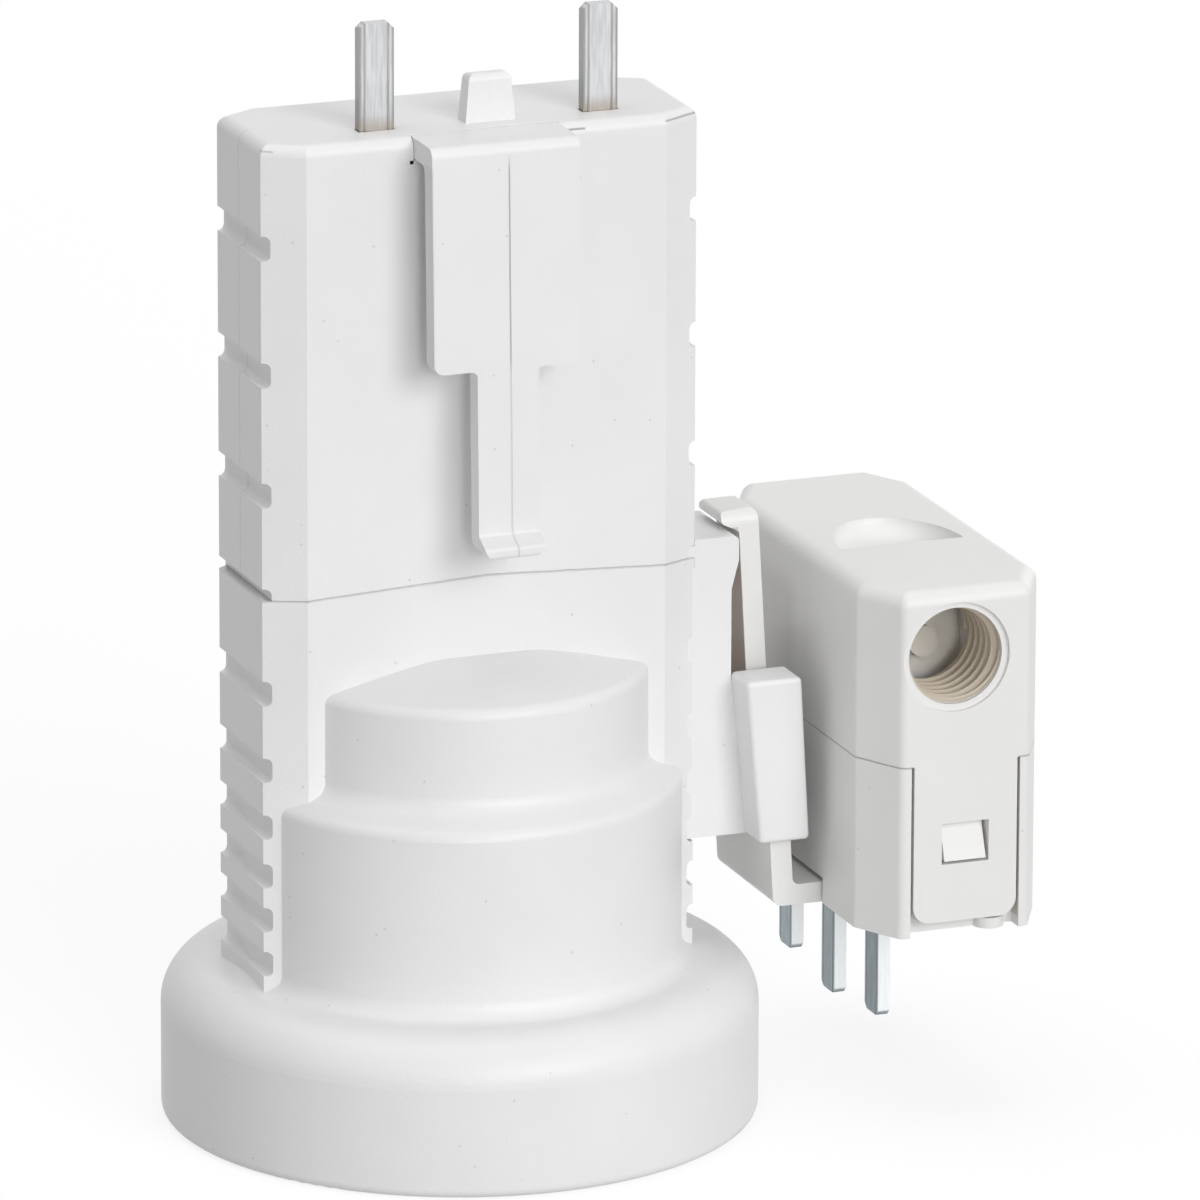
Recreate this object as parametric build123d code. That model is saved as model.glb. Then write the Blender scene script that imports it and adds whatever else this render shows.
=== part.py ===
"""Lamp holder with a plug-in ceiling connector and a stored luminaire plug, in millimetres.

+X points to the plug's side, -Y to the side of the latch lever, and +Z up. The origin is
the centre of the foot ring's lower face, which is the mouth that the lamp is screwed into.
"""
from build123d import *
import math
import os

# Foot ring round the lamp's mouth
ring_overhang = 6.5
ring_height = 13.3
ring_wall = 2.4
ring_shoulder_radius = 4.0
ring_rim_radius = 0.8

# Flat body, in plan an oblong with chamfered corners
body_half_width = 19.0
body_front = -6.6
body_back = 7.9
body_wall = 1.6
body_chamfer_x = 3.3
body_chamfer_y = 1.9
body_top = 85.6
body_edge_radius = 1.0
seam_height = 47.0
seam_rise = 0.9

# Round steps that hold the lamp's cap
lower_barrel_radius = 18.5
lower_barrel_top = 29.2
upper_barrel_radius = 15.7
upper_barrel_top = 38.9
barrel_wall = 1.4
barrel_dome = 2.2
barrel_root_radius = 1.5
barrel_rim_radius = 1.0
barrel_dome_radius = 6.0
barrel_step = 1.4
barrel_side_wall = 1.75
barrel_top_wall = 1.7
hollow_foot_radius = 1.5
hollow_radius = 0.6

# Grip notches across the narrow sides
notch_depth = 0.7
notch_height = 2.1
notch_radius = 0.5
head_notch_heights = (56.0, 66.2, 76.9)
body_notch_heights = (15.8, 19.6, 23.4, 27.6, 32.5, 39.1)

# Connector face, the same on the head and on the plug
blade_pitch = 9.75
blade_width = 3.0
blade_thickness = 1.05
blade_reach = 9.0
blade_tip_chamfer = 0.5
blade_inset = 3.8
blade_offset = 1.3
earth_extra = 1.0
shoulder_width = 5.0
shoulder_height = 3.5
peg_height = 4.0
peg_width = 4.4
peg_tip_width = 3.6
peg_thickness = 1.9

# Latch lever, the same on the head and on the plug
lever_plate_width = 12.8
lever_plate_length = 18.0
lever_stem_width = 5.3
lever_stem_corner = 1.2
lever_thickness = 1.75
lever_gap = 2.53
lever_corner_radius = 0.9
lever_neck_radius = 0.5
lever_inner_radius = 0.6
lever_bead_radius = 0.6
lever_bead_inset = 1.0
lever_bead_drop = 0.9
lever_end_gap = 0.15
hook_reach = 1.5
hook_root_height = 1.7
hook_tip_height = 0.9
hook_radius = 0.35
head_lever_length = 33.6
head_lever_lean = 1.6
plug_lever_length = 32.7
plug_lever_lean = 3.3

# Clearances
pin_clearance = 0.06
seat_clearance = 0.1
free_clearance = 0.35

# Screw shell, its carrier and the contacts
shell_crest_radius = 12.5
shell_root_radius = 13.3
shell_sheet = 0.4
shell_pitch = 3.63
shell_turns = 4
shell_collar = 2.6
shell_flange_radius = 9.2
carrier_thickness = 2.9
contact_sheet = 0.6
contact_width = 5.0
contact_reach = 3.5
contact_drop = 1.6
contact_bead_radius = 0.45
rivet_radius = 1.1
rivet_head_radius = 1.9
rivet_head_height = 0.6
line_rivet_x = -5.0
neutral_rivet_x = 11.0
neutral_rivet_y = 1.3
busbar_width = 4.0
busbar_sheet = 0.8
lug_width = 5.2
top_plate = 1.4

# Posts and pins that close the head's two shells, and the ribs behind the blades
post_radius = 2.0
post_bore = 1.1
post_inset = 4.0
post_above_seam = 9.0
post_below_top = 11.6
pin_length = 5.0
pin_depth = 1.5
rib_half = 1.0
rib_drop = 8.0

# Luminaire plug
plug_standoff = 10.6
plug_width = 16.1
plug_length = 36.8
plug_y = -0.7
plug_bottom = 16.55
plug_seam = 31.35
plug_top = 46.35
plug_wall = 1.5
plug_chamfer_x = 2.4
plug_chamfer_y = 4.6
plug_edge_radius = 1.3
plug_side_radius = 0.8
plug_floor = 2.0
gland_radius = 4.15
gland_length = 8.0
gland_inset = 7.15
gland_height = 40.55
gland_recess_radius = 4.7
gland_recess_depth = 0.4
gland_chamber = 2.6
tab_width = 9.2
tab_drop = 13.65
tab_thickness = 1.3
tab_corner_radius = 1.5
tab_gap = 0.25
window_width = 4.2
window_height = 3.55
window_drop = 6.9
wedge_depth = 1.1
stud_radius = 1.3
stud_height = 2.1
stud_offset = 2.75
scoop_front = 4.0
scoop_length = 8.0
scoop_width = 11.0
scoop_depth = 2.6
terminal_width = 5.4
terminal_depth = 6.0
terminal_height = 8.5
wire_hole_radius = 1.3
wire_hole_height = 3.0
partition_drop = 3.0
screw_radius = 1.4
screw_length = 5.0
screw_head_radius = 1.9
screw_head_height = 1.6
screw_slot = 0.6

# Bracket on the body's side that keeps the plug
fin_setback = 2.37
fin_relief = 0.65
fin_half = 4.1
fin_top = 48.5
fin_corner_radius = 0.5
fin_relief_top = 46.4
fin_relief_low = 43.9
fin_root = 0.5
channel_bottom = 22.6
channel_top = 36.75
channel_web_drop = 2.5
channel_cheek = 1.0
channel_web = 1.72
channel_front = 0.98
channel_left_lean = 1.3
channel_right_lean = 0.8
channel_lip = 0.6
channel_roof = 0.85
channel_edge_radius = 0.4

# Places that follow from the sizes above
ring_radius = lower_barrel_radius + ring_overhang
plug_left = body_half_width + plug_standoff
gland_x = plug_left + gland_inset
connector_y = body_front + blade_inset
head_lever_root = body_top - lever_bead_drop
plug_right = plug_left + plug_width
plug_middle = (plug_left + plug_right) / 2
plug_front = plug_y - plug_length / 2
plug_back = plug_y + plug_length / 2
plug_blade_x = plug_left + blade_inset
plug_lever_root = plug_bottom + lever_bead_drop
plug_lever_back = plug_left - lever_gap - lever_thickness
fin_right = plug_lever_back - fin_setback
channel_left = plug_lever_back - channel_web
channel_right = plug_left - lever_gap + channel_front
lever_reach = lever_bead_inset + lever_gap + lever_thickness / 2
plug_lever_face = (plug_lever_back - (channel_bottom - plug_lever_root)
                   * math.tan(math.radians(plug_lever_lean)))
cavity_top = body_top - top_plate
parting_y = (body_front + body_back) / 2
carrier_top = upper_barrel_top - 0.5
carrier_bottom = carrier_top - carrier_thickness
carrier_radius = upper_barrel_radius - barrel_wall - seat_clearance
core_radius = upper_barrel_radius - barrel_wall
shell_top = carrier_bottom
shell_thread = shell_pitch * shell_turns
shell_bottom = shell_top - shell_thread - shell_collar


def block(x0, x1, y0, y1, z0, z1):
    """Return a rectangular block between two corners."""
    size = Box(x1 - x0, y1 - y0, z1 - z0, align=(Align.MIN, Align.MIN, Align.MIN))
    return Pos(x0, y0, z0) * size


def disc(radius, z0, z1, x=0.0, y=0.0):
    """Return an upright cylinder from z0 to z1."""
    turned = Cylinder(radius, z1 - z0, align=(Align.CENTER, Align.CENTER, Align.MIN))
    return Pos(x, y, z0) * turned


def plan(x0, x1, y0, y1, chamfer_x, chamfer_y):
    """Return the outline of an oblong with its four corners cut off."""
    points = [
        (x0 + chamfer_x, y0), (x1 - chamfer_x, y0), (x1, y0 + chamfer_y), (x1, y1 - chamfer_y),
        (x1 - chamfer_x, y1), (x0 + chamfer_x, y1), (x0, y1 - chamfer_y), (x0, y0 + chamfer_y),
    ]
    return make_face(Polyline(*points, close=True))


def prism(face, z0, z1):
    """Return the upright solid over a face in the XY plane."""
    return Pos(0, 0, z0) * extrude(face, amount=z1 - z0)


def body_plan(inset=0.0):
    """Return the flat body's outline, or the same outline set in by a wall."""
    return plan(-body_half_width + inset, body_half_width - inset, body_front + inset,
                body_back - inset, body_chamfer_x, body_chamfer_y)


def plug_plan(inset=0.0):
    """Return the plug's outline, or the same outline set in by a wall."""
    return plan(plug_left + inset, plug_right - inset, plug_front + inset,
                plug_back - inset, plug_chamfer_x, plug_chamfer_y)


def spun(points, radii):
    """Return the ring or cup that a closed outline of radius and height sweeps round Z."""
    outline = FilletPolyline(*[(r, 0, z) for r, z in points], radius=radii, close=True)
    return revolve(make_face(outline), Axis.Z)


def notches(heights, half_width, y0, y1):
    """Return the bars that cut the grip notches out of both narrow sides."""
    bars = []
    for height in heights:
        for side in (-1, 1):
            bar = Box(2 * notch_depth, y1 - y0 + 2, notch_height)
            bar = fillet(bar.edges().filter_by(Axis.Y), notch_radius)
            bars.append(Pos(side * half_width, (y0 + y1) / 2, height) * bar)
    return bars


def seam_wedge(gap):
    """Return everything above the shallow ridge where the head meets the body."""
    reach = 2 * body_half_width
    fall = seam_rise * reach / body_half_width
    points = [
        (-reach, 0, seam_height + seam_rise - fall + gap), (0, 0, seam_height + seam_rise + gap),
        (reach, 0, seam_height + seam_rise - fall + gap), (reach, 0, 2 * body_top),
        (-reach, 0, 2 * body_top),
    ]
    return extrude(make_face(Polyline(*points, close=True)), amount=2 * ring_radius, both=True)


def barrels():
    """Return the two round steps with their domed top, as one turned solid."""
    foot = ring_radius - ring_shoulder_radius
    points = [
        (0, ring_height - ring_wall), (foot, ring_height - ring_wall), (foot, ring_height),
        (lower_barrel_radius, ring_height), (lower_barrel_radius, lower_barrel_top),
        (upper_barrel_radius, lower_barrel_top + barrel_step), (upper_barrel_radius, upper_barrel_top),
        (upper_barrel_radius / 2, upper_barrel_top + barrel_dome), (0, upper_barrel_top + barrel_dome),
    ]
    return spun(points, [0, 0, 0, barrel_root_radius, barrel_rim_radius, barrel_root_radius,
                         barrel_rim_radius, barrel_dome_radius, 0])


def foot_ring():
    """Return the rounded ring at the lamp's mouth, still solid inside."""
    points = [(0, 0), (ring_radius, 0), (ring_radius, ring_height), (0, ring_height)]
    return spun(points, [0, ring_rim_radius, ring_shoulder_radius, 0])


def mouth_hollow():
    """Return the stepped hollow that the lamp goes into."""
    inner = lower_barrel_radius - barrel_side_wall
    step = lower_barrel_top - barrel_top_wall
    floor = ring_height - ring_wall
    points = [
        (0, -1), (ring_radius - ring_wall, -1), (ring_radius - ring_wall, floor), (inner, floor),
        (inner, step), (core_radius, step), (core_radius, carrier_top), (0, carrier_top),
    ]
    return spun(points, [0, 0, hollow_foot_radius, hollow_radius, hollow_radius, hollow_radius, 0, 0])


def lug_span(side, rivet_x, rivet_y, margin):
    """Return the corners in plan of a busbar's lug, widened by a margin."""
    x = blade_offset + side * blade_pitch
    ends = (x - busbar_width / 2, x + busbar_width / 2,
            rivet_x - lug_width / 2, rivet_x + lug_width / 2)
    return (min(ends) - margin, max(ends) + margin,
            min(-busbar_width / 2, rivet_y - lug_width / 2) - margin, rivet_y + lug_width / 2 + margin)


def busbar_windows():
    """Return the two openings in the barrel's roof that the busbars come through."""
    left = lug_span(-1, line_rivet_x, 0, free_clearance)
    right = lug_span(1, neutral_rivet_x, neutral_rivet_y, free_clearance)
    return (block(*left, carrier_top - 1, seam_height)
            + block(*right, carrier_top - 1, seam_height))


def lever_frame(root_x, root_y, root_z, flipped):
    """Return the place of a latch lever: hanging on the head, or standing on the plug."""
    if flipped:
        return Pos(root_x, root_y, root_z) * Rot(180, 0, 0) * Rot(0, 0, -90)
    return Pos(root_x, root_y, root_z)


def latch_lever(length, lean):
    """Return the T-shaped spring lever, hanging from its bead at the origin, face to -Y."""
    thick = lever_thickness / 2
    slope = math.tan(math.radians(lean))
    outer = lever_reach + thick
    rise = hook_reach * slope
    tip = outer + length * slope + hook_reach
    hook = length - hook_root_height
    points = [
        (-lever_end_gap, thick), (-outer, thick), (-outer - hook * slope, -hook),
        (-tip + hook_tip_height * slope, rise + hook_tip_height - length), (-tip, rise - length),
        (-outer - length * slope + lever_thickness, -length - lever_thickness * slope),
        (-outer + lever_thickness, -thick), (-lever_end_gap, -thick),
    ]
    side = FilletPolyline(*[(0, y, z) for y, z in points], close=True, radius=[
        0, lever_corner_radius, hook_radius, hook_radius, hook_radius, lever_inner_radius,
        lever_inner_radius, 0])
    half = lever_plate_width / 2
    strip = extrude(make_face(side), amount=half, both=True)
    stem = lever_stem_width / 2
    top = 2 * lever_thickness
    low = -lever_plate_length
    end = -length - lever_thickness * slope
    outline = FilletPolyline(
        (-half, 0, top), (-half, 0, low), (-stem, 0, low), (-stem, 0, end), (stem, 0, end),
        (stem, 0, low), (half, 0, low), (half, 0, top), close=True,
        radius=[0, lever_corner_radius, lever_neck_radius, lever_stem_corner, lever_stem_corner,
                lever_neck_radius, lever_corner_radius, 0])
    lever = strip & extrude(make_face(outline), amount=4 * lever_reach, both=True)
    bead = Rot(0, 90, 0) * Cylinder(lever_bead_radius, lever_plate_width)
    return lever + bead


def lever_seat():
    """Return the slot and the round groove that take a lever's root, at the origin."""
    half = lever_plate_width / 2 + free_clearance
    reach = lever_bead_inset + 1
    slot = block(-half, half, -reach, 0, -1.3, lever_bead_drop + 1)
    groove = Rot(0, 90, 0) * Cylinder(lever_bead_radius + pin_clearance, 2 * half)
    return slot + groove


def upright(points, half):
    """Return the slab that an outline of X and height makes across Y, about the plug's middle."""
    face = make_face(Polyline(*[(x, 0, z) for x, z in points], close=True))
    return Pos(0, plug_y, 0) * extrude(face, amount=half, both=True)


def bracket_fin():
    """Return the fin on the body's side, with the relief behind the lever and a round top corner."""
    left = body_half_width - 2 * notch_depth
    right = fin_right
    relief = right - fin_relief
    step = channel_top - channel_web_drop
    root = channel_left + fin_root
    root_top = root - channel_left_lean * (step - channel_bottom) / (channel_top - channel_bottom)
    fin = upright([(left, channel_bottom), (root, channel_bottom), (root_top, step), (relief, step),
                   (relief, fin_relief_low), (right, fin_relief_top), (right, fin_top),
                   (left, fin_top)], fin_half)
    return fillet(fin.edges().filter_by(Axis.Y).group_by(Axis.Z)[-1].sort_by(Axis.X)[-1],
                  fin_corner_radius)


def bracket_channel():
    """Return the leaning channel that wraps the edges of the stored lever's plate."""
    half = lever_plate_width / 2 + free_clearance
    top_left = channel_left - channel_left_lean
    top_right = channel_right - channel_right_lean
    shape = upright([(channel_left, channel_bottom), (channel_right, channel_bottom),
                     (top_right, channel_top), (top_left, channel_top)], half + channel_cheek)
    shape = fillet(shape.edges(), channel_edge_radius)
    slope = channel_right_lean / (channel_top - channel_bottom)
    roof = channel_top - channel_roof
    face = channel_right - channel_lip
    web = plug_lever_face - free_clearance
    slot = upright([(web, channel_bottom - 1), (face + slope, channel_bottom - 1),
                    (face - slope * (roof - channel_bottom), roof),
                    (web - slope * (roof - channel_bottom), roof)], half)
    step = channel_top - channel_web_drop
    way = upright([(web, channel_bottom - 1), (channel_right + 1, channel_bottom - 1),
                   (channel_right + 1, channel_top + 1), (top_left - 1, channel_top + 1),
                   (top_left - 1, step), (web - channel_right_lean, step)], fin_half)
    return shape - slot - way


def lower_housing():
    """Return the moulded body with foot ring, round steps, notches and bracket."""
    body = prism(body_plan(), ring_height / 2, body_top) - seam_wedge(0)
    for bar in notches(body_notch_heights, body_half_width, body_front, body_back):
        body -= bar
    body += foot_ring() + barrels()
    head_space = prism(body_plan(-seat_clearance), seam_height - seam_rise, body_top)
    body += (bracket_fin() - head_space) + bracket_channel()
    body -= mouth_hollow()
    hollow = prism(body_plan(body_wall), upper_barrel_top + barrel_dome - 0.7, body_top)
    return body - hollow - busbar_windows()


def head_blank():
    """Return the head's outer form above the seam, with its notches."""
    blank = prism(body_plan(), seam_height - 1, body_top)
    blank = fillet(blank.faces().sort_by(Axis.Z)[-1].edges(), body_edge_radius)
    blank &= seam_wedge(0)
    for bar in notches(head_notch_heights + (seam_height,), body_half_width, body_front, body_back):
        blank -= bar
    return blank


def head_shell():
    """Return the whole hollow head, before it is parted into its two shells."""
    hollow = prism(body_plan(body_wall), seam_height - 1, cavity_top)
    seat = Pos(0, body_front + lever_bead_inset, head_lever_root) * lever_seat()
    return head_blank() - hollow - seat


def front_part():
    """Return the space of the front shell: the front half, under the top plate."""
    return block(-2 * body_half_width, 2 * body_half_width, 3 * body_front, parting_y, 0, cavity_top)


def latch_post(x, z):
    """Return the post inside the front shell that takes the rear shell's pin."""
    reach = parting_y - body_front - body_wall
    post = Cylinder(post_radius, reach + 0.2) - Cylinder(post_bore, 2 * reach)
    return Pos(x, body_front + body_wall + reach / 2 - 0.1, z) * Rot(90, 0, 0) * post


def latch_pin(x, z):
    """Return the rear shell's pin with its stand, which closes the two shells."""
    depth = body_back - body_wall - parting_y
    stand = Pos(x, parting_y + depth / 2 + 0.1, z) * Rot(90, 0, 0) * Cylinder(post_radius, depth + 0.2)
    pin = Rot(90, 0, 0) * Cylinder(post_bore - pin_clearance, pin_length)
    return stand + Pos(x, parting_y - pin_depth, z) * pin


post_places = [(side * (body_half_width - post_inset), z) for side in (-1, 1)
               for z in (seam_height + post_above_seam, body_top - post_below_top)]


def head_front_shell():
    """Return the front shell that carries the latch lever."""
    shell = head_shell() & front_part()
    for x, z in post_places:
        shell += latch_post(x, z)
    return shell


def head_rear_shell():
    """Return the rear shell with the top plate, the blade slots and the centre peg."""
    shell = head_shell() - front_part()
    for x, z in post_places:
        shell += latch_pin(x, z)
    half = blade_width / 2 + seat_clearance
    thick = blade_thickness / 2 + seat_clearance
    back = body_back - body_wall
    for side in (-1, 1):
        x = blade_offset + side * blade_pitch
        shell -= block(x - half, x + half, connector_y - thick, connector_y + thick,
                       cavity_top - 1, body_top + 1)
        front = connector_y + blade_thickness / 2 + busbar_sheet
        shell += block(x - rib_half, x + rib_half, front, back + 0.2, cavity_top - rib_drop,
                       cavity_top + 0.2)
    return shell + centre_peg()


def centre_peg():
    """Return the tapered moulded peg between the blades."""
    foot = Pos(blade_offset, connector_y, body_top - 0.4) * Rectangle(peg_width, peg_thickness)
    tip = Pos(blade_offset, connector_y, body_top + peg_height) * Rectangle(
        peg_tip_width, peg_thickness - 0.3)
    peg = loft([foot, tip])
    return fillet(peg.faces().sort_by(Axis.Z)[-1].edges(), 0.6)


def contact_blade(bare, reach):
    """Return a flat blade that stands on z = 0, with its shoulder below the wall it passes."""
    blade = block(-blade_width / 2, blade_width / 2, -blade_thickness / 2, blade_thickness / 2,
                  -bare, reach)
    tip = blade.faces().sort_by(Axis.Z)[-1]
    blade = chamfer(tip.edges().filter_by(Axis.Y), blade_tip_chamfer)
    shoulder = block(-shoulder_width / 2, shoulder_width / 2, -blade_thickness / 2,
                     blade_thickness / 2, -bare - shoulder_height, -bare)
    return blade + shoulder


def head_blade(side):
    """Return one of the head's two blades."""
    place = Pos(blade_offset + side * blade_pitch, connector_y, body_top)
    return place * contact_blade(top_plate, blade_reach)


def busbar(side, rivet_x, rivet_y):
    """Return the strip that leads from a blade down to its lug on the carrier."""
    x = blade_offset + side * blade_pitch
    back = connector_y + blade_thickness / 2
    strip = block(x - busbar_width / 2, x + busbar_width / 2, back, back + busbar_sheet,
                  carrier_top, cavity_top - seat_clearance)
    lug = block(*lug_span(side, rivet_x, rivet_y, 0), carrier_top, carrier_top + busbar_sheet)
    return strip + lug - disc(rivet_radius, 0, body_top, rivet_x, rivet_y)


def contact_carrier():
    """Return the insulating disc that carries the screw shell and the contacts."""
    carrier = disc(carrier_radius, carrier_bottom, carrier_top)
    rim = carrier.edges().filter_by(GeomType.CIRCLE).sort_by(Axis.Z)[:1]
    carrier = chamfer(rim, 0.4)
    for x, y in ((line_rivet_x, 0), (neutral_rivet_x, neutral_rivet_y)):
        carrier -= disc(rivet_radius, 0, body_top, x, y)
    return carrier


def screw_shell():
    """Return the thin shell with its rolled rings, top flange and plain collar."""
    half = shell_sheet / 2
    root = shell_root_radius + half
    crest = shell_crest_radius + half
    top = shell_top - half
    waves = []
    for turn in range(1, shell_turns + 1):
        low = top - turn * shell_pitch
        waves += [(crest, 0, low + shell_pitch / 2), (root, 0, low)]
    route = FilletPolyline(
        (shell_flange_radius, 0, top), (root, 0, top), *waves, (root, 0, shell_bottom),
        radius=[shell_sheet] + [shell_pitch / 4] * len(waves))
    side = Plane.XZ.location.inverse() * route
    shell = revolve(Plane.XZ * trace(side, shell_sheet), Axis.Z)
    return shell - disc(rivet_radius, 0, body_top, neutral_rivet_x, neutral_rivet_y)


def contact_foot():
    """Return the fixed strip under the carrier that the centre tongue springs from."""
    hinge_x = line_rivet_x + lug_width / 2
    foot = block(line_rivet_x - rivet_head_radius, hinge_x, -contact_width / 2, contact_width / 2,
                 carrier_bottom - contact_sheet, carrier_bottom)
    groove = Pos(hinge_x, 0, carrier_bottom - contact_sheet / 2) * Rot(90, 0, 0) * Cylinder(
        contact_bead_radius / 2 + pin_clearance, contact_width + 1)
    return foot - disc(rivet_radius, 0, body_top, line_rivet_x) - groove


def centre_contact():
    """Return the springy tongue that the lamp's tip presses on, with its dimple."""
    hinge_x = line_rivet_x + lug_width / 2
    height = carrier_bottom - contact_sheet / 2
    route = FilletPolyline(
        (hinge_x, 0, height), (hinge_x + 1.6, 0, height - contact_drop),
        (contact_reach, 0, height - contact_drop - 0.3), radius=[1.0])
    side = Plane.XZ.location.inverse() * route
    strip = Plane.XZ * trace(side, contact_sheet * 0.75)
    tongue = extrude(strip, amount=contact_width / 2 - 0.2, both=True)
    bead = Pos(hinge_x, 0, height) * Rot(90, 0, 0) * Cylinder(contact_bead_radius / 2,
                                                              contact_width - 0.4)
    dimple = Pos(0.4, 0, height - contact_drop + 1.1) * Sphere(1.8)
    dimple &= block(-3, 3, -3, 3, 0, height - contact_drop - 0.2)
    return tongue + bead + dimple


def rivet(x, y, top, bottom):
    """Return a rivet with a low head at each end."""
    shank = disc(rivet_radius, bottom - rivet_head_height, top + rivet_head_height, x, y)
    heads = disc(rivet_head_radius, top, top + rivet_head_height, x, y)
    heads += disc(rivet_head_radius, bottom - rivet_head_height, bottom, x, y)
    return shank + heads


def carrier_rivets():
    """Return the two rivets that hold lugs, carrier, contact foot and screw shell together."""
    top = carrier_top + busbar_sheet
    return [rivet(line_rivet_x, 0, top, carrier_bottom - contact_sheet),
            rivet(neutral_rivet_x, neutral_rivet_y, top, carrier_bottom - shell_sheet)]


def front_lever():
    """Return the head's latch lever."""
    place = lever_frame(0, body_front + lever_bead_inset, head_lever_root, False)
    return place * latch_lever(head_lever_length, head_lever_lean)


def plug_lever():
    """Return the plug's latch lever, which hooks over the fin while the plug is stored."""
    place = lever_frame(plug_left + lever_bead_inset, plug_y, plug_lever_root, True)
    return place * latch_lever(plug_lever_length, plug_lever_lean)


def tab_blank():
    """Return the tongue below the cover's front end, with rounded lower corners."""
    half = tab_width / 2
    low = plug_seam - tab_drop
    outline = FilletPolyline(
        (-half, 0, plug_seam + 1), (-half, 0, low), (half, 0, low), (half, 0, plug_seam + 1),
        radius=[0, tab_corner_radius, tab_corner_radius, 0], close=True)
    tongue = extrude(make_face(outline), amount=-tab_thickness)
    return Pos(plug_middle, plug_front, 0) * tongue


def tab_slot():
    """Return the slot in the base's front end that the tab lies in, open at the bottom."""
    half = tab_width / 2 + tab_gap
    return block(plug_middle - half, plug_middle + half, plug_front - 1,
                 plug_front + tab_thickness + tab_gap, plug_bottom - 1, plug_seam + 1)


def slot_stud():
    """Return the half-round stud on the slot's wall, below the tab."""
    wall = plug_front + tab_thickness + tab_gap
    stud = disc(stud_radius, plug_bottom, plug_bottom + stud_height, plug_middle + stud_offset, wall)
    low = plug_seam - tab_drop - tab_gap
    under = block(plug_left, plug_right, plug_front, plug_back, plug_bottom, low)
    behind = block(plug_left, plug_right, wall, plug_back, plug_bottom, plug_top)
    return stud & (under + behind)


def at_both_ends(piece):
    """Return a piece of the plug's front end with its mirror image at the back end."""
    return piece + mirror(piece, Plane.XZ.offset(-plug_y))


def snap_tab():
    """Return the cover's snap tab with its window."""
    window = Pos(plug_middle, plug_front, plug_seam - window_drop) * Box(
        window_width, 4 * tab_thickness, window_height)
    return tab_blank() - window


def snap_wedge():
    """Return the base's wedge that the tab's window snaps over, flush with the tab at its foot."""
    half = window_width / 2 - tab_gap
    middle = plug_seam - window_drop
    top = middle + window_height / 2 - tab_gap
    low = middle - window_height / 2 + tab_gap
    back = plug_front + tab_thickness + 2 * tab_gap
    points = [(0, back, low), (0, plug_front, low), (0, plug_front + wedge_depth, top), (0, back, top)]
    wedge = extrude(make_face(Polyline(*points, close=True)), amount=half, both=True)
    return Pos(plug_middle, 0, 0) * wedge


def top_scoop():
    """Return the half-elliptic finger hollow in the cover's top, straight at the front."""
    middle = (plug_middle, plug_y - scoop_front, plug_top)
    bowl = scale(Sphere(1), by=(scoop_width / 2, scoop_length, scoop_depth))
    bowl &= block(-plug_length, plug_length, 0, plug_length, -plug_length, plug_length)
    return Pos(*middle) * bowl


def plug_cover():
    """Return the plug's upper cover with cable entry, snap tabs and finger hollow."""
    cover = prism(plug_plan(), plug_seam, plug_top)
    cover = fillet(cover.faces().sort_by(Axis.Z)[-1].edges(), plug_edge_radius)
    cover = fillet(cover.edges().filter_by(Axis.Z), plug_side_radius)
    room_front = plug_front + gland_length + gland_chamber + 1.2
    room = prism(plug_plan(plug_wall), plug_seam - 1, plug_top - scoop_depth - plug_wall)
    room &= block(plug_left, plug_right, room_front, plug_back, 0, plug_top)
    lip = prism(plug_plan(plug_wall), plug_seam - 1, plug_seam + 1.6)
    entry = Pos(gland_x, plug_front, gland_height) * Rot(90, 0, 0)
    bore = entry * Cylinder(gland_radius, 2 * gland_length)
    recess = entry * Cylinder(gland_recess_radius, 2 * gland_recess_depth)
    chamber = block(gland_x - gland_radius - 0.4, gland_x + gland_radius + 0.4,
                    plug_front + gland_length, plug_front + gland_length + gland_chamber,
                    plug_seam - 1, gland_height + gland_radius)
    cover = cover - room - lip - bore - recess - chamber - top_scoop()
    boss = Pos(gland_x + 0.9, plug_front + gland_length + gland_chamber - 0.4,
               gland_height - 1.4) * Rot(90, 0, 0) * Cylinder(1.3, 1.2)
    return cover + boss + at_both_ends(snap_tab())


def plug_base():
    """Return the plug's base with floor, blade slots, chamber walls and lever seat."""
    base = prism(plug_plan(), plug_bottom, plug_seam)
    base = fillet(base.edges().filter_by(Axis.Z), plug_side_radius)
    room = prism(plug_plan(plug_wall), plug_bottom + plug_floor, plug_seam + 1)
    end_wall = plug_wall + tab_thickness + tab_gap
    keep = block(plug_left, plug_right, plug_front + end_wall, plug_back - end_wall, 0, plug_top)
    base = base - (room & keep) - at_both_ends(tab_slot())
    for step in (-0.5, 0.5):
        y = plug_y + step * blade_pitch
        base += block(plug_left + 0.5, plug_blade_x + terminal_depth + 1, y - 0.5, y + 0.5,
                      plug_bottom + 0.5, plug_seam - partition_drop)
    base -= lever_frame(plug_left + lever_bead_inset, plug_y, plug_lever_root, True) * lever_seat()
    for step in (-1, 0, 1):
        y = plug_y + step * blade_pitch
        thick = blade_thickness / 2 + seat_clearance
        half = blade_width / 2 + seat_clearance
        base -= block(plug_blade_x - thick, plug_blade_x + thick, y - half, y + half,
                      plug_bottom - 1, plug_bottom + plug_floor + 1)
    return base + at_both_ends(snap_wedge()) + at_both_ends(slot_stud())


def plug_blade(step):
    """Return one of the plug's three blades, pointing down."""
    reach = blade_reach + (earth_extra if step == 0 else 0)
    blade = Rot(180, 0, 0) * Rot(0, 0, 90) * contact_blade(plug_floor, reach)
    return Pos(plug_blade_x, plug_y + step * blade_pitch, plug_bottom) * blade


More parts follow.
